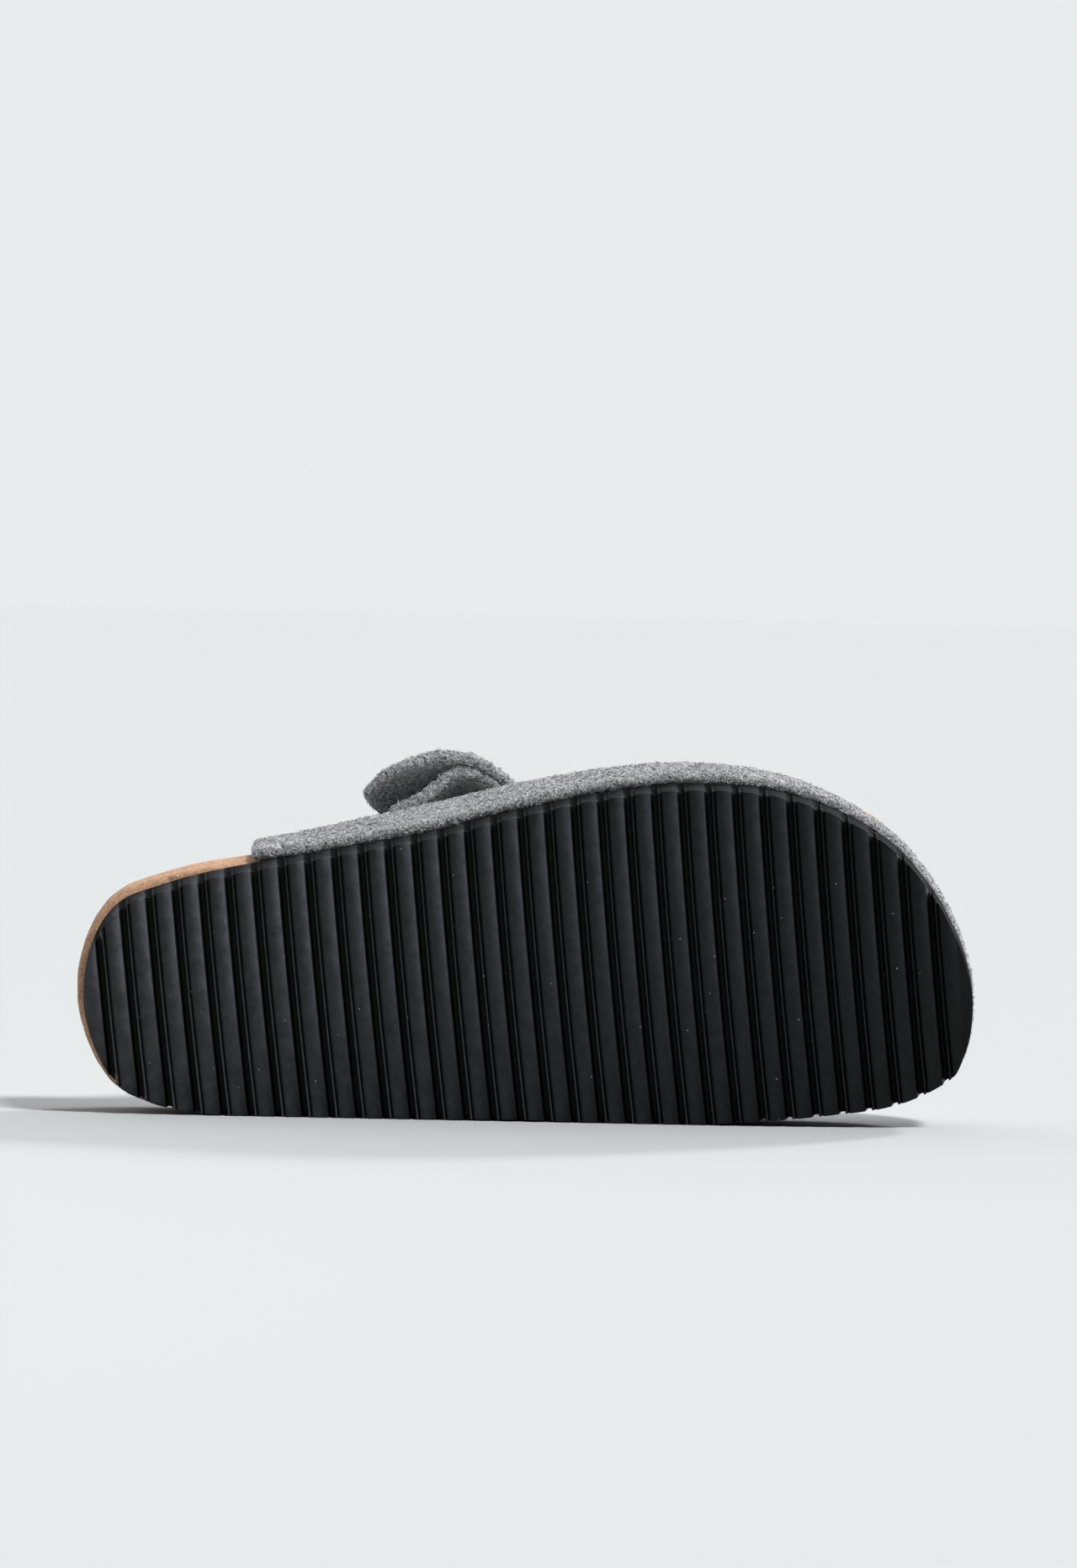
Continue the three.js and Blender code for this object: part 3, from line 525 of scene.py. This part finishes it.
def fold(body):
    """Presses the soft folds into a felt piece along its normals."""
    place = to_shoe(mesh_points(body.data))
    normals = np.empty(len(place) * 3, dtype=np.float32)
    body.data.vertex_normals.foreach_get("vector", normals)
    across = np.exp(-((place[:, 1] - fold_centre) / fold_reach) ** 4)
    over = np.clip((place[:, 2] - fold_foot) / fold_fade, 0, 1)
    sink = np.zeros(len(place))
    for row in folds:
        off = place[:, 0] - row["x"] * mm - row["slant"] * place[:, 1]
        sink += row["depth"] * mm * np.exp(-(off / (row["spread"] * mm)) ** 2)
    moved = from_shoe(place) - normals.reshape(-1, 3) * (sink * across * over)[:, None]
    body.data.vertices.foreach_set("co", moved.astype(np.float32).ravel())
    body.data.update()


def on_fleck(middle, normal):
    """How much of the cream fleck a face holds, a spot on the lateral hem near the toe."""
    away = to_shoe(middle) - fleck_place
    return np.exp(-(np.linalg.norm(away, axis=1) / fleck_radius) ** 2)


def faces_outwards(middle, normal):
    """Which faces of a shell look away from the line along the middle of the foot."""
    place = to_shoe(middle)
    away = np.stack([np.maximum(0, place[:, 0] - toe_start) * toe_pull,
                     place[:, 1],
                     place[:, 2] - foot_height], axis=1)
    return np.einsum("ij,ij->i", away @ shoe_axes, normal) > 0


def hair_roots(body, count, chance, chosen):
    """Random places on a felt piece and the normals there, spread evenly or where chosen says."""
    body.data.calc_loop_triangles()
    corners = np.array([triangle.vertices[:] for triangle in body.data.loop_triangles])
    points = mesh_points(body.data)
    start, first, second = points[corners[:, 0]], points[corners[:, 1]], points[corners[:, 2]]
    span = np.cross(first - start, second - start)
    area = np.linalg.norm(span, axis=1)
    normal = span / np.maximum(area, 1e-12)[:, None]
    if chosen:
        area = area * chosen((start + first + second) / 3, normal)
    pick = chance.choice(len(corners), count, p=area / area.sum())
    share = np.sqrt(chance.random(count))[:, None]
    split = chance.random(count)[:, None]
    root = start[pick] * (1 - share) + (first[pick] * (1 - split) + second[pick] * split) * share
    return root, normal[pick]


def hair_knots(root, out, chance):
    """The five points of each bent, flat hair, from its root to its tip, none under the floor."""
    count = len(root)
    lean = chance.normal(size=(count, 3))
    lean -= out * np.einsum("ij,ij->i", lean, out)[:, None]
    lean /= np.linalg.norm(lean, axis=1)[:, None]
    aside = np.cross(out, lean)
    half = hair_length * (shortest_half + half_range * chance.random(count))[:, None]
    rise = (lowest_rise + rise_range * chance.random(count) ** 2)[:, None]
    curl = chance.normal(0, curl_spread, count)[:, None]
    knee = root + half * (lean + out * rise)
    tip = knee + half * (lean * np.cos(curl) + aside * np.sin(curl) - out * rise * tip_drop)
    tilt = chance.random(count)[:, None] * math.pi
    flat = (aside * np.cos(tilt) + out * np.sin(tilt)) * hair_width / 2
    knots = np.stack([root - flat, root + flat, knee - flat, knee + flat, tip], axis=1)
    knots[:, :, 2] = np.maximum(knots[:, :, 2], 0)
    return knots


def hair_coat(body, name, count, seed, material, chosen=None):
    """Short crimped hairs over a felt piece, all in one mesh, each with its own tone.

    A hair's tone is partly its own and partly that of its lock, the hairs of one small cell.
    """
    chance = np.random.default_rng(seed)
    root, out = hair_roots(body, count, chance, chosen)
    knots = hair_knots(root, out, chance)
    base = np.arange(count)[:, None] * hair_points
    lower = (base + [0, 1, 3, 2]).tolist()
    upper_end = (base + [2, 3, 4]).tolist()
    coat = new_piece(name, knots.reshape(-1, 3), lower + upper_end)
    own = chance.beta(*own_tones, count)
    lock = np.floor(root / lock_size).astype(np.int64) @ lock_primes % lock_count
    shared = chance.beta(*lock_tones, lock_count)[lock]
    tone = own_share * own + (1 - own_share) * shared
    add_values(coat.data, "tone", np.repeat(tone, hair_points))
    coat.data.materials.append(material)
    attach(coat, "root")


# The felt's face takes its greys from fine grain, and each hair from the tone that it carries.
felt_finish = {"Roughness": 0.9, "Specular IOR Level": 0.2}
felt, tree, shader = new_material("felt_grey", felt_finish)
felt_grain = {"Scale": 1300, "Detail": 4, "Roughness": 0.75, "Strength": 0.9, "Distance": 0.6 * mm}
fibres = add_group(tree, grain, felt_grain)
face_tones = {"Low": 0.36, "High": 0.70, "Dark": felt_dark, "Light": felt_light}
tint = add_group(tree, two_tone, face_tones)
tree.links.new(fibres.outputs["Height"], tint.inputs["Tone"])
tree.links.new(tint.outputs["Color"], shader.inputs["Base Color"])
tree.links.new(fibres.outputs["Normal"], shader.inputs["Normal"])

felt_hair, tree, shader = new_material("felt_hair", felt_finish)
tone = tree.nodes.new("ShaderNodeAttribute")
tone.attribute_name = "tone"
hair_tones = {"Low": 0, "High": 1, "Dark": felt_dark, "Light": felt_light}
tint = add_group(tree, two_tone, hair_tones)
tree.links.new(tone.outputs["Fac"], tint.inputs["Tone"])
tree.links.new(tint.outputs["Color"], shader.inputs["Base Color"])

cream_wool = new_material("cream_wool", {"Base Color": fleck_cream, "Roughness": 0.95})[0]

upper = softened("upper", "felt_upper", upper_voxel, upper_softening, felt_relief)
fold(upper)
upper.data.materials.append(felt)
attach(upper, "root")
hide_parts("upper")
for layer in range(hair_layers):
    hair_coat(upper, f"upper_hairs_{layer}", upper_hairs, layer, felt_hair, faces_outwards)
hair_coat(upper, "cream_fleck", fleck_hairs, fleck_seed, cream_wool, on_fleck)

# Instep strap
# A band of the same felt, cut from sheet and fixed to the upper low on its medial side.
# It crosses the instep under the buckle, and its free end stands off on the lateral side.
strap_voxel = 0.8 * mm
strap_softening = 3
strap_hairs = 40000
strap_seed = 11

strap = softened("instep_strap", "felt_strap", strap_voxel, strap_softening, felt_relief)
strap.data.materials.append(felt)
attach(strap, "root")
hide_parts("instep_strap")
hair_coat(strap, "strap_hairs", strap_hairs, strap_seed, felt_hair)

# Buckle tab
# A shorter and narrower layer of felt under the strap's free end.
# It is fixed to the upper, and its own end stands off too.
tab_hairs = 14000
tab_seed = 12

tab = softened("buckle_tab", "felt_tab", strap_voxel, strap_softening, felt_relief)
tab.data.materials.append(felt)
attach(tab, "root")
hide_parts("buckle_tab")
hair_coat(tab, "tab_hairs", tab_hairs, tab_seed, felt_hair)

# Buckle
# A frame of dull metal with one prong across it, which lies on the strap's outer face.
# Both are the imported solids, with their edges rounded.
buckle_grey = (0.13, 0.13, 0.135, 1)
edge_round = 0.3 * mm

metal_finish = {"Base Color": buckle_grey, "Metallic": 1, "Roughness": 0.35}
metal = new_material("buckle_metal", metal_finish)[0]
for name in ("buckle_frame", "buckle_prong"):
    part = frame["nodes"][name]
    part.data.materials.clear()
    part.data.materials.append(metal)
    edge = part.modifiers.new("edge", "BEVEL")
    edge.width = edge_round
    edge.segments = 2

# Floor
# Plain pale paper, dull all over.
# It runs back to the horizon.
floor_reach = 60.0
paper_grey = (0.48, 0.493, 0.497, 1)

paper_finish = {"Base Color": paper_grey, "Roughness": 1, "Specular IOR Level": 0}
paper = new_material("paper", paper_finish)[0]
corners = [(-1, -1), (1, -1), (1, 1), (-1, 1)]
floor_points = [(x * floor_reach, y * floor_reach, 0) for x, y in corners]
floor = new_piece("floor", floor_points, [(0, 1, 2, 3)])
floor.data.materials.append(paper)

# Light
# Pale walls stand behind and above the shoe, and a dark room on the camera's side of it.
# The camera itself sees pale wall all round.
# A broad key and a rim light come from the right, and a weak panel at the left grazes the tread.
pale_wall = (0.80, 0.835, 0.845, 1)
dark_wall = (0.06, 0.062, 0.064, 1)
wall_turn = {"From Min": -0.3, "From Max": 0.15}
suns = [
    {"name": "key", "from": (0.5, -0.36, 0.85), "strength": 3.35, "softness": 12},
    {"name": "rim", "from": (0.6, 0.75, 0.55), "strength": 2.0, "softness": 8},
]
panel_place = Vector((-0.63, -0.63, 0.35))
panel_size = 0.35
panel_power = 0.45

world = bpy.data.worlds.new("studio")
bpy.context.scene.world = world
world.use_nodes = True
tree = world.node_tree
place = tree.nodes.new("ShaderNodeTexCoord")
split = tree.nodes.new("ShaderNodeSeparateXYZ")
behind = add_node(tree, "ShaderNodeMapRange", wall_turn)
behind.interpolation_type = "SMOOTHSTEP"
path = tree.nodes.new("ShaderNodeLightPath")
shown = tree.nodes.new("ShaderNodeMath")
shown.operation = "MAXIMUM"
walls = tree.nodes.new("ShaderNodeMix")
walls.data_type = "RGBA"
set_inputs(walls, {"A": dark_wall, "B": pale_wall})
tree.links.new(place.outputs["Generated"], split.inputs["Vector"])
tree.links.new(split.outputs["Y"], behind.inputs["Value"])
tree.links.new(behind.outputs["Result"], shown.inputs[0])
tree.links.new(path.outputs["Is Camera Ray"], shown.inputs[1])
tree.links.new(shown.outputs["Value"], walls.inputs["Factor"])
tree.links.new(walls.outputs["Result"], tree.nodes["Background"].inputs["Color"])


def add_light(data, direction, strength):
    """A light that shines from a direction, or from a place, towards the origin."""
    data.energy = strength
    light = bpy.data.objects.new(data.name, data)
    light.rotation_mode = "QUATERNION"
    light.rotation_quaternion = Vector(direction).to_track_quat("Z", "Y")
    bpy.context.scene.collection.objects.link(light)
    return light


for row in suns:
    sun = bpy.data.lights.new(row["name"], "SUN")
    sun.angle = math.radians(row["softness"])
    add_light(sun, row["from"], row["strength"])
panel_data = bpy.data.lights.new("panel", "AREA")
panel_data.size = panel_size
panel = add_light(panel_data, panel_place, panel_power)
panel.location = panel_place
bpy.context.scene.view_settings.view_transform = "Standard"

# Camera
# A long lens almost square to the tread, raised a little towards the lateral side.
# Its aim is given along the shoe from the heel and out to the lateral side.
camera_rise = math.radians(5.7)
camera_distance = 2.065
camera_lens = 150
aim_along = 145.4 * mm
aim_lateral = 67.55 * mm

aim = shoe_origin + shoe_ahead * aim_along + shoe_lateral * aim_lateral
back = shoe_lateral * math.sin(camera_rise) - shoe_up * math.cos(camera_rise)
above = shoe_lateral * math.cos(camera_rise) + shoe_up * math.sin(camera_rise)
camera_data = bpy.data.cameras.new("camera")
camera_data.lens = camera_lens
camera = bpy.data.objects.new("camera", camera_data)
turn = Matrix((shoe_ahead, above, back)).transposed().to_4x4()
camera.matrix_world = Matrix.Translation(aim + back * camera_distance) @ turn
bpy.context.scene.collection.objects.link(camera)
bpy.context.scene.camera = camera
